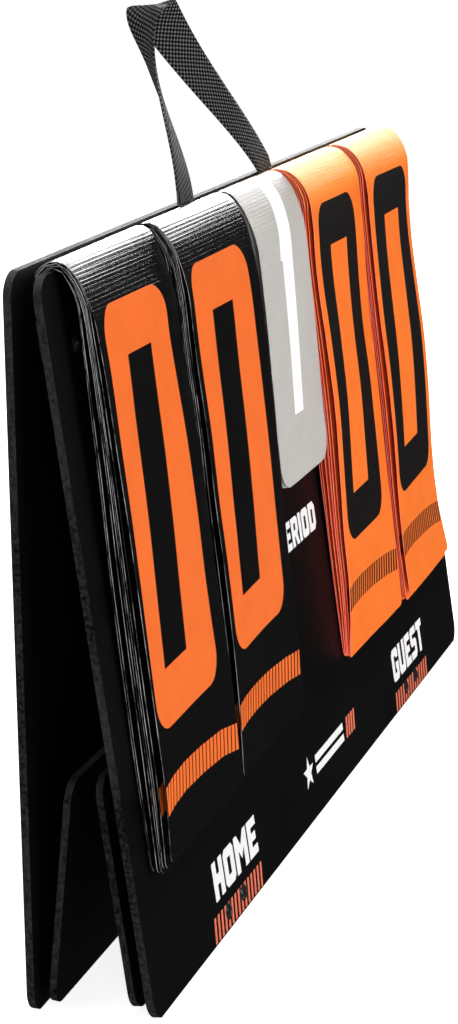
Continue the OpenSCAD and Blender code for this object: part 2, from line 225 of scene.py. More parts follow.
def webbing(name, attribute=None, color=(0.0022, 0.0022, 0.0024), painted_crest_highlight=(0.15, 0.15, 0.154)):
    """Woven nylon: yarns over and under in both directions."""
    t = Tree(name)
    t.bsdf.inputs["Specular IOR Level"].default_value = 0.1
    t.bsdf.inputs["Roughness"].default_value = 0.55
    if attribute:
        a = t.attr(attribute)
        sep = t.node("ShaderNodeSeparateXYZ", {0: a})
        u, v = sep.outputs[0], sep.outputs[1]
    else:
        a = t.coords()
        sep = t.node("ShaderNodeSeparateXYZ", {0: a})
        u, v = sep.outputs[0], sep.outputs[2]
    jit = t.noise(a, 260.0, 2.0)
    v = t.math("ADD", v, t.math("MULTIPLY", jit, 0.0004))
    su = t.math("SINE", t.math("MULTIPLY", u, math.pi / 0.00155))
    sv = t.math("SINE", t.math("MULTIPLY", v, math.pi / 0.0016))
    over = t.math("MULTIPLY", su, sv)
    lump = t.math("ADD", t.math("MULTIPLY", over, 0.5), 0.5)
    yarn = t.math("MULTIPLY", t.math("SINE", t.math("MULTIPLY", u, 2 * math.pi / 0.00034)), 0.04)
    t.bump(t.math("ADD", lump, yarn), 0.0004, 1.0)
    # painted highlight: the weave's raised crests are coloured lighter than the yarn
    t.to(t.ramp(lump, [(0.45, color), (0.85, painted_crest_highlight)]), "Base Color")
    return t.mat


def plastic(name, color, rough=0.5):
    t = Tree(name)
    a = t.coords()
    f = t.noise(a, 700.0, 3.0)
    t.to(t.ramp(f, [(0.35, scaled(color, 0.8)), (0.65, scaled(color, 1.25))]), "Base Color")
    t.to(t.math("ADD", t.math("MULTIPLY", f, 0.15), rough - 0.07), "Roughness")
    t.bump(f, 0.00002, 0.6)
    return t.mat


def rivet_paint(name):
    """Black paint, worn to bare metal here and there."""
    t = Tree(name)
    a = t.coords()
    f = t.noise(a, 380.0, 4.0, 0.6)
    t.to(t.ramp(f, [(0.56, (0.016, 0.016, 0.018)), (0.72, (0.24, 0.23, 0.22))]), "Base Color")
    t.to(t.math("MULTIPLY", t.math("GREATER_THAN", f, 0.66), 0.8), "Metallic")
    t.bsdf.inputs["Roughness"].default_value = 0.2
    t.bsdf.inputs["Coat Weight"].default_value = 1.0
    t.bsdf.inputs["Coat Roughness"].default_value = 0.1
    t.bump(t.noise(a, 1200.0, 2.0), 0.00002, 0.6)
    return t.mat


def ink(name, color, rough=0.42):
    """Screen print: an even film with a faint mottle and pinholes."""
    t = Tree(name)
    t.bsdf.inputs["Specular IOR Level"].default_value = 0.35
    a = t.coords()
    f = t.noise(a, 500.0, 4.0, 0.6)
    t.to(t.ramp(f, [(0.3, scaled(color, 0.88)), (0.7, color)]), "Base Color")
    t.to(t.math("ADD", t.math("MULTIPLY", f, 0.14), rough - 0.07), "Roughness")
    t.bump(f, 0.00001, 0.6)
    return t.mat


BLACK = (0.0026, 0.0024, 0.0026)
ORANGE = (0.80, 0.142, 0.017)
ORANGE_CARD = (0.86, 0.17, 0.018)
GREY = (0.48, 0.46, 0.435)

M = {
    "v_black": vinyl("vinyl_black", BLACK, 0.235, 0.95, rib=0.42, ribs=0.55),
    # painted highlight: the orange cards get a light yellow-orange colour over their arches (bend)
    "v_orange": vinyl("vinyl_orange", ORANGE_CARD, 0.42, 0.045, 0.05, ribs=0.2, bend=(1.0, 0.50, 0.075)),
    "v_grey": vinyl("vinyl_grey", GREY, 0.38, 0.12, 0.03, ribs=0.4),
    "p_orange": vinyl("print_orange", ORANGE, 0.46, 0.08, 0.05, rib=0.6),
    "p_black": vinyl("print_black", (0.0095, 0.0082, 0.008), 0.44, 0.12, rib=0.6),
    "p_white": vinyl("print_white", (0.93, 0.93, 0.93), 0.46, 0.3, 0.01, rib=0.6),
    "e_black": sheet_edge("edge_black", (0.62, 0.62, 0.64), (0.02, 0.02, 0.022), 42.0),
    # the orange cut edges carry a painted glow (emission) standing in for light they do not get
    "e_orange": sheet_edge("edge_orange", (0.96, 0.36, 0.30), (0.78, 0.05, 0.05), 60.0, 0.62),
    "e_grey": sheet_edge("edge_grey", (0.62, 0.61, 0.6), (0.16, 0.15, 0.15)),
    "skin": foam("foam_skin", (0.0026, 0.0028, 0.0031), 0.5, spec=0.22),
    "cut": foam("foam_cut", (0.0125, 0.013, 0.0138), 0.6, 0.0005, 420.0, 0.98, 0.45),
    # painted highlight: the light grey of the bevelled corners stands in for the highlight they catch
    "rim": foam("foam_rim_painted_highlight", (0.30, 0.30, 0.31), 0.55, 0.0002, 420.0, 0.95, 0.5),
    "web": webbing("webbing"),
    "web_loop": webbing("webbing_loop", "strap"),
    "clamp": plastic("clamp_plastic", (0.022, 0.022, 0.023)),
    "rivet": rivet_paint("rivet_paint"),
    "ink_white": ink("ink_white", (0.93, 0.93, 0.93)),
    "ink_orange": ink("ink_orange", (0.86, 0.19, 0.10)),
}

# ------------------------------------------------------------------ CAD nodes
def set_materials(o, *mats):
    if len(o.data.materials):
        o.data.materials.clear()
    for mt in mats:
        o.data.materials.append(mt)


for n, o in nodes.items():
    if n in ("front_board", "rear_board", "front_flap", "rear_flap"):
        set_materials(o, M["skin"], M["cut"], M["rim"])
        # the two skins are the faces whose normals are nearly along Y
        for p in o.data.polygons:
            p.material_index = 0 if abs(p.normal.y) > 0.93 else 1
    elif n.startswith("tab_") or n == "handle_tails":
        set_materials(o, M["web"])
    elif n.startswith("rivets_"):
        set_materials(o, M["rivet"])
    elif n.startswith("clamp_"):
        set_materials(o, M["clamp"])

# Slightly rounded rims of the boards and flaps; their light grey colour is a painted highlight along the corners
for n in ("front_board", "rear_board", "front_flap", "rear_flap"):
    b = nodes[n].modifiers.new("rim", "BEVEL")
    b.width = 0.0003
    b.segments = 2
    b.limit_method = "ANGLE"
    b.angle_limit = math.radians(50)
    b.material = 2
    b.harden_normals = False


# ------------------------------------------------------------------ meshes
def link(name, mesh):
    o = bpy.data.objects.new(name, mesh)
    bpy.context.scene.collection.objects.link(o)
    return o


def inside(p, loop):
    x, y = p
    hit = False
    j = len(loop) - 1
    for i in range(len(loop)):
        xi, yi = loop[i]
        xj, yj = loop[j]
        if (yi > y) != (yj > y) and x < (xj - xi) * (y - yi) / (yj - yi) + xi:
            hit = not hit
        j = i
    return hit


def resample(loop, step):
    out = []
    for i in range(len(loop)):
        a, b = Vector(loop[i]), Vector(loop[(i + 1) % len(loop)])
        k = max(1, math.ceil((b - a).length / step))
        for q in range(k):
            out.append(tuple(a.lerp(b, q / k)))
    return out


def triangulate(outer, regions, rows, cols, keep=0.9):
    """Plane mesh of the outer loop, cut along every region's loops.
    regions is [(loops, index)], and a triangle takes the last index whose loops hold it (even-odd)."""
    verts, edges = [], []
    loops = [outer] + [lp for ls, _ in regions for lp in ls]
    for lp in loops:
        s = len(verts)
        verts += [Vector(p) for p in lp]
        edges += [(s + i, s + (i + 1) % len(lp)) for i in range(len(lp))]
    arr = np.array([tuple(v) for v in verts])
    for r in rows:
        for c in cols:
            if inside((c, r), outer) and np.min(np.hypot(arr[:, 0] - c, arr[:, 1] - r)) > keep:
                verts.append(Vector((c, r)))
    vs, es, fs, *_ = geometry.delaunay_2d_cdt(verts, edges, [], 1, 1e-5)
    pts = [tuple(v) for v in vs]
    tris, idx = [], []
    for f in fs:
        c = (sum(pts[i][0] for i in f) / 3, sum(pts[i][1] for i in f) / 3)
        if not inside(c, outer):
            continue
        m = 0
        for ls, k in regions:
            if sum(inside(c, lp) for lp in ls) % 2:
                m = k
        tris.append(tuple(f))
        idx.append(m)
    return pts, tris, idx


def thick_mesh(name, pts, tris, idx, place, thickness, back_index, edge_index, attribute=None, value=None, sharp=35):
    """Closed sheet: the plane mesh placed by place(x, v, offset), with a back and a rim."""
    n = len(pts)
    top = [place(x, v, thickness / 2) for x, v in pts]
    bot = [place(x, v, -thickness / 2) for x, v in pts]
    count = {}
    for t in tris:
        for a, b in ((t[0], t[1]), (t[1], t[2]), (t[2], t[0])):
            count[(a, b)] = count.get((a, b), 0) + 1
    rim = [e for e in count if (e[1], e[0]) not in count]
    faces = [tuple(t) for t in tris]
    mats = list(idx)
    for t in tris:
        faces.append((t[2] + n, t[1] + n, t[0] + n))
        mats.append(back_index)
    for a, b in rim:
        faces.append((b, a, a + n, b + n))
        mats.append(edge_index)
    me = bpy.data.meshes.new(name)
    me.from_pydata([tuple(v) for v in top + bot], [], faces)
    me.polygons.foreach_set("material_index", mats)
    me.polygons.foreach_set("use_smooth", [True] * len(faces))
    me.update()
    me.set_sharp_from_angle(angle=math.radians(sharp))
    if attribute:
        at = me.attributes.new(attribute, "FLOAT_VECTOR", "POINT")
        vals = [value(x, v) for x, v in pts] * 2
        at.data.foreach_set("vector", np.array(vals, np.float32).ravel())
    return me


# ------------------------------------------------------------------ cards
APEX0 = 354.6
BACK_R0, BACK_STEP = 7.55, 0.55
FOOT = 322.3
CARD_T = 0.3
# Heights up the face, and how far the shown card stands off it at its left and right edge:
# it comes tightly over the top, swells below it and falls back towards its low edge.
HEIGHTS = (350.2, 345.8, 341.2, 335, 327, 317, 303, 280, 250, 215, 180, 140, 105, 66)
INNER = (5.2, 7.0, 8.1, 8.7, 8.4, 7.9, 7.5, 6.7, 5.5, 3.8, 2.5, 1.5, 1.0, 0.8)
SHOWN = {
    "home_tens": ((9.6, 11.8, 13.3, 14.9, 16.0, 16.4, 16.9, 17.1, 17.2, 16.9, 16.0, 14.9, 14.0, 11.4),
                  (7.2, 8.4, 9.6, 11.0, 12.9, 13.4, 12.8, 13.2, 13.8, 13.6, 12.6, 12.2, 11.4, 10.4)),
    "home_ones": ((9.6, 12.2, 13.8, 15.3, 16.6, 17.4, 16.9, 16.2, 15.9, 15.0, 14.5, 12.8, 10.8, 7.5),
                  (9.4, 11.2, 12.6, 13.8, 15.0, 15.8, 16.1, 15.4, 14.5, 13.0, 11.4, 9.8, 8.6, 6.5)),
    "period": ((9.6, 11.8, 13.4, 15.2, 16.5, 16.5, 16.0, 15.4, 14.2, 12.2, 11.0, 11, 11, 11),
               (9.6, 11.8, 13.2, 14.6, 15.6, 15.6, 15.0, 14.4, 13.2, 11.4, 10.0, 10, 10, 10)),
    "guest_tens": ((14.0, 16.6, 18.4, 19.4, 19.5, 19.2, 18.0, 17.1, 17.2, 17.2, 15.0, 12.0, 10.2, 5.0),
                   (11.8, 14.3, 16.0, 16.5, 16.3, 16.1, 15.5, 13.8, 12.2, 12.0, 11.0, 9.5, 8.5, 7.0)),
    "guest_ones": ((13.8, 16.3, 17.9, 19.0, 19.3, 18.9, 18.2, 17.4, 16.6, 16.4, 15.1, 12.6, 11.3, 11.0),
                   (11.2, 13.6, 15.1, 16.3, 15.8, 14.8, 13.2, 12.0, 11.7, 11.4, 9.8, 7.0, 5.9, 8.8)),
}
# middle, left and right edge, number of cards behind the shown one, low edge
STACK = {
    "home_tens": (-227.5, -58.5, 54.5, 7, 71), "home_ones": (-106.5, -58.5, 54.5, 7, 69), "period": (0, -48.0, 43.0, 4, 190),
    "guest_tens": (106.5, -58.5, 54.5, 7, 66), "guest_ones": (227.5, -58.5, 55.5, 7, 69),
}
SHARE7 = (0, 0.12, 0.34, 0.43, 0.52, 0.61, 0.73, 1)
SHARE4 = (0, 0.28, 0.5, 0.72, 1)


def spline(pts, n=7):
    """Catmull-Rom through the points."""
    pts = [np.array(q, float) for q in pts]
    ext = [2 * pts[0] - pts[1]] + pts + [2 * pts[-1] - pts[-2]]
    out = []
    for i in range(1, len(ext) - 2):
        a, b, c, d = ext[i - 1:i + 3]
        for t in np.arange(n) / n:
            out.append(0.5 * (2 * b + (c - a) * t + (2 * a - 5 * b + 4 * c - d) * t * t + (3 * b - a - 3 * c + d) * t ** 3))
    out.append(pts[-1])
    return np.array(out)


class Profile:
    """Middle line of one card's edge in the board's frame, from its foot behind the board over the top to its low end.
    side is 0 for the left edge, 1 for the right and 0.5 for the middle."""

    def __init__(self, name, k, side, low):
        n = STACK[name][3]
        share = (SHARE7 if n == 7 else SHARE4)[k]
        apex = APEX0 + 2.8 * k / n
        br = BACK_R0 + BACK_STEP * k
        zb = apex - br
        left, right_ = SHOWN[name]
        pts = []
        for i, h in enumerate(HEIGHTS):
            outer = left[i] * (1 - side) + right_[i] * side
            inner = INNER[i] * (1 - 0.28 * side) if n == 7 else INNER[i] * 0.8
            f = min(1.0, max(0.0, (341 - h) / 16))
            f = f * f * (3 - 2 * f)
            w = k / n * (1 - f) + share * f
            drop = max(0.0, (1 - k / n) * (h - 333) * 0.1)
            pts.append((inner + (outer - inner) * w, h - drop))
        o1, s1 = pts[0]
        head = [(-0.42 * br, zb + 0.907 * br), (0, apex), (0.38 * o1, apex - 0.13 * (apex - s1)), (0.70 * o1, apex - 0.42 * (apex - s1))]
        hs = [q[1] for q in pts]
        os_ = [q[0] for q in pts]
        body = [(o, h) for o, h in pts if h > low + 12]
        body.append((float(np.interp(-low, [-h for h in hs], os_)), low))
        curve = spline(head + body)[7:]  # from the apex on
        back = [(-br, h) for h in np.arange(FOOT, zb, 2.0)]
        back += [(-br * math.cos(a), zb + br * math.sin(a)) for a in np.linspace(0, math.pi / 2, 30)[:-1]]
        self.p = np.array(back + [tuple(q) for q in curve])
        seg = np.hypot(*np.diff(self.p, axis=0).T)
        self.v = np.concatenate([[0], np.cumsum(seg)])
        tan = np.gradient(self.p, axis=0)
        tan /= np.hypot(*tan.T)[:, None]
        self.nrm = np.column_stack([-tan[:, 1], tan[:, 0]])
        self.v_apex = float(self.v[len(back)])
        self.total = float(self.v[-1])
        self.first = len(back)

    def at(self, v):
        return [np.interp(v, self.v, c) for c in (self.p[:, 0], self.p[:, 1], self.nrm[:, 0], self.nrm[:, 1])]


class Sheet:
    def __init__(self, name, k, low):
        self.x0, self.left, self.right, self.n, _ = STACK[name]
        self.a, self.b, self.m = (Profile(name, k, side, low) for side in (0, 1, 0.5))
        self.share = (SHARE7 if self.n == 7 else SHARE4)[k]
        self.total, self.v_apex = self.m.total, self.m.v_apex
        self.v_low = self.v_of_s(333)

    def v_of_s(self, s):
        """Length along the card where its front side is at height s."""
        i = self.m.first
        return float(np.interp(-s, -self.m.p[i:, 1], self.m.v[i:]))

    def edge(self, prof, v):
        if v <= self.v_apex:
            return prof.at(v * prof.v_apex / self.v_apex)
        return prof.at(prof.v_apex + (v - self.v_apex) * (prof.total - prof.v_apex) / (self.total - self.v_apex))

    def q(self, v):
        return min(1.0, max(0.0, (v - self.v_low) / (self.total - self.v_low)))


def place_card(sheet, wave, seed):
    """Point of a card: x from its middle, v along it, off along its normal."""
    off_v = Vector((seed * 7.31, seed * 3.17, 0))
    w = sheet.right - sheet.left
    memo = {}

    def place(x, v, off):
        if v not in memo:
            memo[v] = (sheet.edge(sheet.a, v), sheet.edge(sheet.b, v))
        ea, eb = memo[v]
        t = (x - sheet.left) / w
        o, s, no, ns = (ea[i] + (eb[i] - ea[i]) * t for i in range(4))
        g = math.hypot(no, ns)
        no, ns = no / g, ns / g
        q = sheet.q(v)
        n1 = noise.noise(Vector((sheet.x0 * 0.17 + x * 0.013, v * 0.0125, 0.5)))
        n2 = noise.noise(Vector((x * 0.03, v * 0.022, 5)) + off_v)
        h = (0.9 * sheet.share * n1 + wave * n2) * min(1.0, q * 5) + off
        return front(sheet.x0 + x, o + no * h, s + ns * h)

    return place


def rounded_rect(x0, x1, y0, y1, r, n=8, corners=(1, 1, 1, 1)):
    """Loop, counter-clockwise from the lower left; corners order: ll, lr, ur, ul."""
    out = []
    for (cx, cy, a0, on) in ((x0, y0, 180, corners[0]), (x1, y0, 270, corners[1]), (x1, y1, 0, corners[2]), (x0, y1, 90, corners[3])):
        if not on:
            out.append((cx, cy))
            continue
        ox, oy = cx + (r if cx == x0 else -r), cy + (r if cy == y0 else -r)
        for i in range(n + 1):
            a = math.radians(a0 + 90 * i / n)
            out.append((ox + r * math.cos(a), oy + r * math.sin(a)))
    return out


def sheet_outline(sheet, r):
    # v grows downward on the front: the rounded corners are at the high-v end
    return rounded_rect(sheet.left, sheet.right, 0, sheet.total, r, 8, (0, 0, 1, 1))


def make_shown_card(name, base, edge, prints):
    """The card that is read. prints is [(loops in (x, s), material)]."""
    x0, xl, xr, n, low = STACK[name]
    sheet = Sheet(name, n, low)
    outer = resample(sheet_outline(sheet, 14 if name == "period" else 4), 4.0)
    mats, regions = [base], []
    for loops, mt in prints:
        if mt not in mats:
            mats.append(mt)
        conv = []
        for lp in loops:
            conv.append([(x - x0, sheet.v_of_s(s) if s < 1000 else s - 1000) for x, s in resample(lp, 3.5)])
        regions.append((conv, mats.index(mt)))
    mats += [edge]
    rows = list(np.arange(2.0, sheet.v_low + 20, 1.3)) + list(np.arange(sheet.v_low + 22, sheet.total - 2, 6.0))
    pts, tris, idx = triangulate(outer, regions, rows, np.arange(xl + 6, xr - 3, 6.5))
    me = thick_mesh("card_" + name, pts, [t[::-1] for t in tris], idx, place_card(sheet, 0.2, 11 + x0 * 0.01), CARD_T, 0, len(mats) - 1,
                    "sheet", lambda x, v: ((x + x0) * MM, v * MM, 0))
    o = link("card_" + name, me)
    set_materials(o, *[M[k] for k in mats])
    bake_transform(o)
    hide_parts("leaf_" + name, "arch_" + name)
    return o


def make_pack(name, base, edge, band=None):
    """The further cards, each a sheet of its own with its own wave and slip."""
    x0, xl, xr, n, low = STACK[name]
    rnd = random.Random(name)
    verts, faces, mats, vals = [], [], [], []
    for k in range(n):
        sheet = Sheet(name, k, (66 if n == 7 else low) + rnd.uniform(-1.0, 2.2))
        dx, skew = rnd.uniform(-0.6, 0.6), rnd.uniform(-1.2, 1.2)
        outer = resample(sheet_outline(sheet, 14 if name == "period" else 4), 6.0)
        rows = list(np.arange(3.0, sheet.v_low + 18, 2.2)) + list(np.arange(sheet.v_low + 22, sheet.total - 3, 11.0))
        regions = []
        if band and k in (3, 6):
            for lp in band[1]:
                regions.append(([[(x - x0, sheet.v_of_s(s)) for x, s in lp]], 2))
        pts, tris, idx = triangulate(outer, regions, rows, np.arange(xl + 14, xr - 7, 14.5), 1.5)
        place = place_card(sheet, 0.3, 3 + k * 1.7 + x0 * 0.013)

        def slid(x, v, off, place=place, sheet=sheet, dx=dx, skew=skew):
            return place(x, v, off) + Vector(((dx + skew * sheet.q(v)) * MM, 0, 0))

        me = thick_mesh("tmp", pts, [t[::-1] for t in tris], idx, slid, CARD_T, 0, 1)
        st = len(verts)
        verts += [tuple(v.co) for v in me.vertices]
        for p in me.polygons:
            faces.append(tuple(i + st for i in p.vertices))
            mats.append(p.material_index)
        vals += [((x + x0) * MM, v * MM, k * 0.37) for x, v in pts] * 2
        bpy.data.meshes.remove(me)
    me = bpy.data.meshes.new("cards_" + name)
    me.from_pydata(verts, [], faces)
    me.polygons.foreach_set("material_index", mats)
    me.polygons.foreach_set("use_smooth", [True] * len(faces))
    me.update()
    me.set_sharp_from_angle(angle=math.radians(35))
    at = me.attributes.new("sheet", "FLOAT_VECTOR", "POINT")
    at.data.foreach_set("vector", np.array(vals, np.float32).ravel())
    o = link("cards_" + name, me)
    set_materials(o, M[base], M[edge], M[band[0] if band else base])
    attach(o, "front_side")
    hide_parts("pack_" + name)
    return o


# ------------------------------------------------------------------ print on the cards
def zero(xl, xr, top, bottom, lean=0.0, r=15):
    """A block 0: a rounded outline and a sharp counter whose foot stands further left than its top."""
    outer = [(x + (lean * (s - 232) / 200 if x < (xl + xr) / 2 else 0), s) for x, s in rounded_rect(xl, xr, 132, 332.3, r, 8)]
    inner = [(bottom[0], 158.7), (bottom[1], 158.7), (top[1], 306.4), (top[0], 306.4)]
    return [outer, inner]


def hatch(name, n, fill, slant=3.4, upto=None):
    """A band of slanted ticks between two gently curved lines, from edge to edge of the card."""
    x0, l, r = STACK[name][:3]
    xl, xr = x0 + l, x0 + r
    drop = (0, 2.5, 3.6, 2.2, -0.5, -5.6) if name == "home_tens" else (0, 1.8, 2.2, 1.2, -1.2, -4.6)
    at = (0, 0.1, 0.25, 0.5, 0.77, 1)

    def line(x, base):
        return base + float(np.interp((x - xl) / (xr - xl), at, drop))

    loops = []
    for i in range(-1, n):
        a = xl + 1.2 + (xr - xl - 2.2) * (max(0, i) / n) ** 1.12 + (min(0, i) * 4)
        b = xl + 1.2 + (xr - xl - 2.2) * ((i + 1) / n) ** 1.12
        b = a + (b - a) * fill
        low, high = (a, b), (a + slant, b + slant)
        low = [min(xr - 1, max(xl + 1, v)) for v in low]
        high = [min(xr - 1, max(xl + 1, v)) for v in high]
        if high[1] - high[0] < 0.4 or (upto and high[1] > xl + upto):
            continue
        if low[1] - low[0] < 0.4:
            low = [low[0], low[0] + 0.4]
        loops.append([(low[0], line(low[0], 93.6)), (low[1], line(low[1], 93.6)), (high[1], line(high[1], 107.2)), (high[0], line(high[0], 107.2))])
    return loops


def team_card(name, base, edge, print_mat, xl, xr, top, bottom, fill, lean=0.0):
    prints = [(zero(xl, xr, top, bottom, lean), print_mat)]
    prints += [([lp], print_mat) for lp in hatch(name, 21, fill)]
    return make_shown_card(name, base, edge, prints)


team_card("home_tens", "v_black", "e_black", "p_orange", -280.6, -190.5, (-252.3, -218.6), (-264.8, -231.6), 0.76, 6.5)
team_card("home_ones", "v_black", "e_black", "p_orange", -159.3, -68.2, (-133.4, -100.8), (-140.8, -107.4), 0.72)
team_card("guest_tens", "v_orange", "e_orange", "p_black", 58.2, 141.6, (82.6, 119.0), (76.5, 112.0), 0.6)
team_card("guest_ones", "v_orange", "e_orange", "p_black", 178.3, 273.8, (209.0, 249.0), (198.6, 240.2), 0.6, 6.0)

# The period card: a 1 whose stem carries on over the arch
pp = Sheet("period", 4, 190)
stem = [(-13, 226), (3.2, 225.6), (11.5, 312), (16.5, 343), (17.5, 1000 + pp.v_apex), (18, 1006), (-1.5, 1006), (-2.5, 1000 + pp.v_apex), (-4, 343), (-11, 312.2), (-7.6, 311.6)]
make_shown_card("period", "v_grey", "e_grey", [([stem], "p_white")])

for nm, base, edge, sl, pm, fill in (("home_tens", "v_black", "e_black", "vinyl_black", "p_orange", 0.76), ("home_ones", "v_black", "e_black", "vinyl_black", "p_orange", 0.72),
                                     ("period", "v_grey", "e_grey", "vinyl_grey", None, 0), ("guest_tens", "v_orange", "e_orange", "vinyl_orange", "p_black", 0.6),
                                     ("guest_ones", "v_orange", "e_orange", "vinyl_orange", "p_black", 0.6)):
    make_pack(nm, base, edge, (pm, hatch(nm, 21, fill, upto=12)) if pm else None)


# ------------------------------------------------------------------ print on the front board
def decal(name, groups, mats, body="front_side"):
    """Thin film of ink on the front board's face. groups is [(loops, material index)]."""
    verts, faces, idx = [], [], []
    for loops, k in groups:
        outer = [resample(lp, 30) for lp in loops]
        vs, es = [], []
        for lp in outer:
            s = len(vs)
            vs += [Vector(p) for p in lp]
            es += [(s + i, s + (i + 1) % len(lp)) for i in range(len(lp))]
        pv, _, pf, *_ = geometry.delaunay_2d_cdt(vs, es, [], 1, 1e-5)
        pts = [tuple(v) for v in pv]
        tris = [tuple(f) for f in pf if sum(inside((sum(pts[i][0] for i in f) / 3, sum(pts[i][1] for i in f) / 3), lp) for lp in outer) % 2]
        me = thick_mesh("tmp", pts, [t[::-1] for t in tris], [0] * len(tris), lambda x, v, off: front(x, 0.02 + off, v), 0.1, 0, 0)
        s = len(verts)
        verts += [tuple(v.co) for v in me.vertices]
        for p in me.polygons:
            faces.append(tuple(i + s for i in p.vertices))
            idx.append(k)
        bpy.data.meshes.remove(me)
    me = bpy.data.meshes.new(name)
    me.from_pydata(verts, [], faces)
    me.polygons.foreach_set("material_index", idx)
    me.update()
    o = link(name, me)
    set_materials(o, *mats)
    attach(o, body)
    return o


def box_loop(x0, y0, x1, y1):
    return [(x0, y0), (x1, y0), (x1, y1), (x0, y1)]


K = 0.27  # stroke of the block letters, their height being 1
LETTERS = {
    "H": (0.74, [[(0, 0), (K, 0), (K, 0.5 - K / 2), (0.74 - K, 0.5 - K / 2), (0.74 - K, 0), (0.74, 0), (0.74, 1), (0.74 - K, 1), (0.74 - K, 0.5 + K / 2), (K, 0.5 + K / 2), (K, 1), (0, 1)]]),
    "O": (0.76, [[(0.12, 0), (0.64, 0), (0.76, 0.12), (0.76, 0.88), (0.64, 1), (0.12, 1), (0, 0.88), (0, 0.12)], [(K, K), (0.76 - K, K), (0.76 - K, 1 - K), (K, 1 - K)]]),
    "M": (0.94, [[(0, 0), (K, 0), (K, 0.56), (0.47, 0.3), (0.94 - K, 0.56), (0.94 - K, 0), (0.94, 0), (0.94, 1), (0.72, 1), (0.47, 0.66), (0.22, 1), (0, 1)]]),
    "E": (0.66, [[(0, 0), (0.66, 0), (0.66, 0.24), (K, 0.24), (K, 0.39), (0.58, 0.39), (0.58, 0.61), (K, 0.61), (K, 0.76), (0.66, 0.76), (0.66, 1), (0, 1)]]),
    "G": (0.76, [[(0.12, 0), (0.64, 0), (0.76, 0.12), (0.76, 0.55), (0.42, 0.55), (0.42, 0.34), (0.5, 0.34), (0.5, 0.24), (K, 0.24), (K, 0.76), (0.5, 0.76), (0.5, 0.68), (0.76, 0.68), (0.76, 0.88), (0.64, 1), (0.12, 1), (0, 0.88), (0, 0.12)]]),
    "U": (0.76, [[(0.12, 0), (0.64, 0), (0.76, 0.12), (0.76, 1), (0.76 - K, 1), (0.76 - K, 0.25), (K, 0.25), (K, 1), (0, 1), (0, 0.12)]]),
    "S": (0.72, [[(0, 0), (0.6, 0), (0.72, 0.12), (0.72, 0.5), (0.6, 0.62), (0.26, 0.62), (0.26, 0.76), (0.7, 0.76), (0.7, 1), (0.12, 1), (0, 0.88), (0, 0.52), (0.12, 0.4), (0.46, 0.4), (0.46, 0.24), (0, 0.24)]]),
    "T": (0.72, [[(0.36 - K / 2, 0), (0.36 + K / 2, 0), (0.36 + K / 2, 0.76), (0.72, 0.76), (0.72, 1), (0, 1), (0, 0.76), (0.36 - K / 2, 0.76)]]),
    "P": (0.74, [[(0, 0), (K, 0), (K, 0.32), (0.62, 0.32), (0.74, 0.44), (0.74, 0.88), (0.62, 1), (0, 1)], [(K, 0.54), (0.74 - K, 0.54), (0.74 - K, 0.78), (K, 0.78)]]),
    "R": (0.76, [[(0, 0), (K, 0), (K, 0.32), (0.36, 0.32), (0.5, 0), (0.78, 0), (0.62, 0.36), (0.74, 0.48), (0.74, 0.88), (0.62, 1), (0, 1)], [(K, 0.54), (0.74 - K, 0.54), (0.74 - K, 0.78), (K, 0.78)]]),
    "I": (K, [[(0, 0), (K, 0), (K, 1), (0, 1)]]),
    "D": (0.75, [[(0, 0), (0.57, 0), (0.75, 0.18), (0.75, 0.82), (0.57, 1), (0, 1)], [(K, 0.25), (0.75 - K, 0.25), (0.75 - K, 0.75), (K, 0.75)]]),
}


def word(text, x0, x1, s0, s1):
    """Plain block letters that fill the width x0 to x1."""
    gap = 0.1
    width = sum(LETTERS[c][0] for c in text) + gap * (len(text) - 1)
    fx, fs = (x1 - x0) / width, s1 - s0
    out, at = [], 0.0
    for c in text:
        w, loops = LETTERS[c]
        out.append([[(x0 + (at + px) * fx, s0 + py * fs) for px, py in lp] for lp in loops])
        at += w + gap
    return out


def ticks(x0, x1, s0, s1, n, slant=2.4, fill=0.5):
    pitch = (x1 - x0 - slant) / (n - 1 + fill)
    return [[(x0 + i * pitch, s0), (x0 + i * pitch + pitch * fill, s0), (x0 + i * pitch + pitch * fill + slant, s1), (x0 + i * pitch + slant, s1)] for i in range(n)]


def star(cx, cy, r, inner=0.42):
    return [(cx + (r if i % 2 == 0 else r * inner) * math.sin(math.pi * i / 5), cy + (r if i % 2 == 0 else r * inner) * math.cos(math.pi * i / 5)) for i in range(10)]


decal("label_home", [(lp, 0) for lp in word("HOME", -208, -138, 19.5, 39.5)], [M["ink_white"]])
decal("label_guest", [(lp, 0) for lp in word("GUEST", 146, 222, 18.5, 39)], [M["ink_white"]])
decal("label_period", [(lp, 0) for lp in word("PERIOD", -37, 35, 149.5, 166)], [M["ink_white"]])
decal("stripes_home", [([lp], 0) for lp in ticks(-217, -137, 0.8, 13.5, 15)], [M["ink_orange"]])
decal("stripes_guest", [([lp], 0) for lp in ticks(143, 224, 0.6, 12.3, 14)], [M["ink_orange"]])
decal("plain_mark", [([star(-41, 27, 9.5)], 0), ([box_loop(-27, 28.2, 30, 32.4)], 0), ([box_loop(-27, 21.6, 30, 25.8)], 0)]
      + [([lp], 1) for lp in ticks(35, 56, 21.0, 33.0, 4, 3.0, 0.6)], [M["ink_white"], M["ink_orange"]])


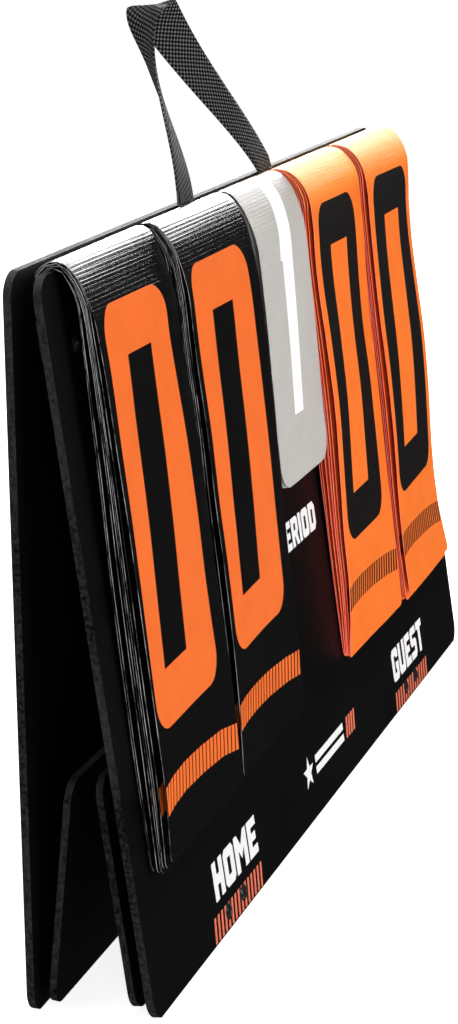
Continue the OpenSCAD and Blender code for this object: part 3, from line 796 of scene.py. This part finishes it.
# ------------------------------------------------------------------ handle
def make_handle():
    """Webbing loop with a half turn of twist from leg to leg."""
    hinge = joints["handle_swing"]["pos_m"]
    base_y = hinge[1] * 1000
    base_z = 355.5 * CT - ST
    leg, high, back, bend, w, th = 71.0, 101.0, 36.5, 0.18, 25.0, 1.8
    n = 150
    us = [math.copysign(abs(i / n - 1) ** 1.25, i - n) if i != n else 0.0 for i in range(2 * n + 1)]
    cs, ws = [], []
    for u in us:
        c = Vector((leg * u, base_y + back * math.cos(math.pi / 2 * u) ** 1.4,
                    base_z + 0.1 + (high - 0.4) * (1 - (math.sqrt(u * u + bend * bend) - bend) / (math.sqrt(1 + bend * bend) - bend))))
        g = math.radians(90 + 90 * (0.5 * u + 0.5 * (2 / (1 + math.exp(-(u + 0.06) / 0.08)) - 1)))
        cs.append(c)
        ws.append(Vector((math.cos(g), math.sin(g), 0)))
    verts, vals, faces = [], [], []
    # cross-section: a flat strap with rounded selvedges, slightly thinner at its rims
    sec = []
    for j in range(13):
        t = -1 + 2 * j / 12
        sec.append((t, (1 - abs(t) ** 8) ** 0.5 * 0.5 if abs(t) < 1 else 0.0))
    ring = [(t, h) for t, h in sec] + [(t, -h) for t, h in reversed(sec[1:-1])]
    length = 0.0
    for i, (c, wv) in enumerate(zip(cs, ws)):
        if i:
            length += (c - cs[i - 1]).length
        if i in (0, 2 * n):
            tan = Vector((0, 0, 1 if i == 0 else -1))
        else:
            tan = (cs[i + 1] - cs[i - 1]).normalized()
        wv = (wv - tan * wv.dot(tan)).normalized()
        nv = tan.cross(wv)
        cup = 0.35 * noise.noise(Vector((length * 0.02, 0.3, 0.7)))
        for t, h in ring:
            p = c + wv * (t * w / 2) + nv * (h * th + cup * (1 - t * t))
            verts.append(p * MM)
            vals.append((t * w / 2 * MM, length * MM, 0.0))
    m_ = len(ring)
    for i in range(2 * n):
        for j in range(m_):
            a, b = i * m_ + j, i * m_ + (j + 1) % m_
            faces.append((a, b, b + m_, a + m_))
    faces.append(tuple(range(m_ - 1, -1, -1)))
    faces.append(tuple(range(2 * n * m_, (2 * n + 1) * m_)))
    me = bpy.data.meshes.new("handle_webbing")
    me.from_pydata([tuple(v) for v in verts], [], faces)
    bm = bmesh.new()
    bm.from_mesh(me)
    bmesh.ops.recalc_face_normals(bm, faces=bm.faces)
    bm.to_mesh(me)
    bm.free()
    me.polygons.foreach_set("use_smooth", [True] * len(me.polygons))
    me.update()
    me.set_sharp_from_angle(angle=math.radians(60))
    at = me.attributes.new("strap", "FLOAT_VECTOR", "POINT")
    at.data.foreach_set("vector", np.array(vals, np.float32).ravel())
    o = link("handle_webbing", me)
    set_materials(o, M["web_loop"])
    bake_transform(o)
    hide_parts("handle_loop")
    return o


make_handle()

# ------------------------------------------------------------------ stage and light
floor_me = bpy.data.meshes.new("floor")
S = 3.2
floor_me.from_pydata([(-S, -S, 0), (S, -S, 0), (S, S, 0), (-S, S, 0)], [], [(0, 1, 2, 3)])
floor = link("floor", floor_me)
floor.location.z = -0.0002
t = Tree("floor_paper")
a = t.coords()
f = t.noise(a, 3.0, 3.0)
t.to(t.ramp(f, [(0.3, (0.86, 0.86, 0.86)), (0.7, (0.9, 0.9, 0.9))]), "Base Color")
t.bsdf.inputs["Roughness"].default_value = 0.9
t.bsdf.inputs["Specular IOR Level"].default_value = 0.1
t.bsdf.inputs["Emission Color"].default_value = (1, 1, 1, 1)
t.bsdf.inputs["Emission Strength"].default_value = 0.85
set_materials(floor, t.mat)
floor.visible_glossy = False

world = bpy.data.worlds.new("studio")
world.use_nodes = True
bpy.context.scene.world = world
wt = world.node_tree
bg = wt.nodes["Background"]
bg.inputs["Color"].default_value = (1, 1, 1, 1)
path = wt.nodes.new("ShaderNodeLightPath")
seen = wt.nodes.new("ShaderNodeMath")
seen.operation = "MULTIPLY_ADD"
wt.links.new(path.outputs["Is Camera Ray"], seen.inputs[0])
seen.inputs[1].default_value, seen.inputs[2].default_value = 0.85, 0.2
dim = wt.nodes.new("ShaderNodeMath")
dim.operation = "MULTIPLY_ADD"
wt.links.new(path.outputs["Is Glossy Ray"], dim.inputs[0])
dim.inputs[1].default_value = -0.182
wt.links.new(seen.outputs[0], dim.inputs[2])
wt.links.new(dim.outputs[0], bg.inputs["Strength"])


def area(name, loc, target, size, power, size_y=None):
    d = bpy.data.lights.new(name, "AREA")
    d.shape = "RECTANGLE"
    d.size, d.size_y = size, size_y or size
    d.energy = power
    o = bpy.data.objects.new(name, d)
    bpy.context.scene.collection.objects.link(o)
    o.location = loc
    o.rotation_euler = (Vector(target) - Vector(loc)).to_track_quat("-Z", "Y").to_euler()
    o.visible_camera = False
    return o


# overhead softbox, a far strip that the arches catch, and a broad front fill
area("overhead", (0.1, 0.2, 1.7), (0, 0, 0.3), 1.6, 16, 1.0)
area("far_strip", (2.2, 0.33, 0.92), (0, 0, 0.36), 1.38, 46, 0.85)
area("near_fill", (-2.3, -0.9, 1.0), (0, 0, 0.25), 0.8, 7, 0.8)
area("front_fill", (-0.5, -2.3, 1.1), (0, 0, 0.18), 1.6, 25, 1.2)

view = bpy.context.scene.view_settings
view.view_transform = "Standard"
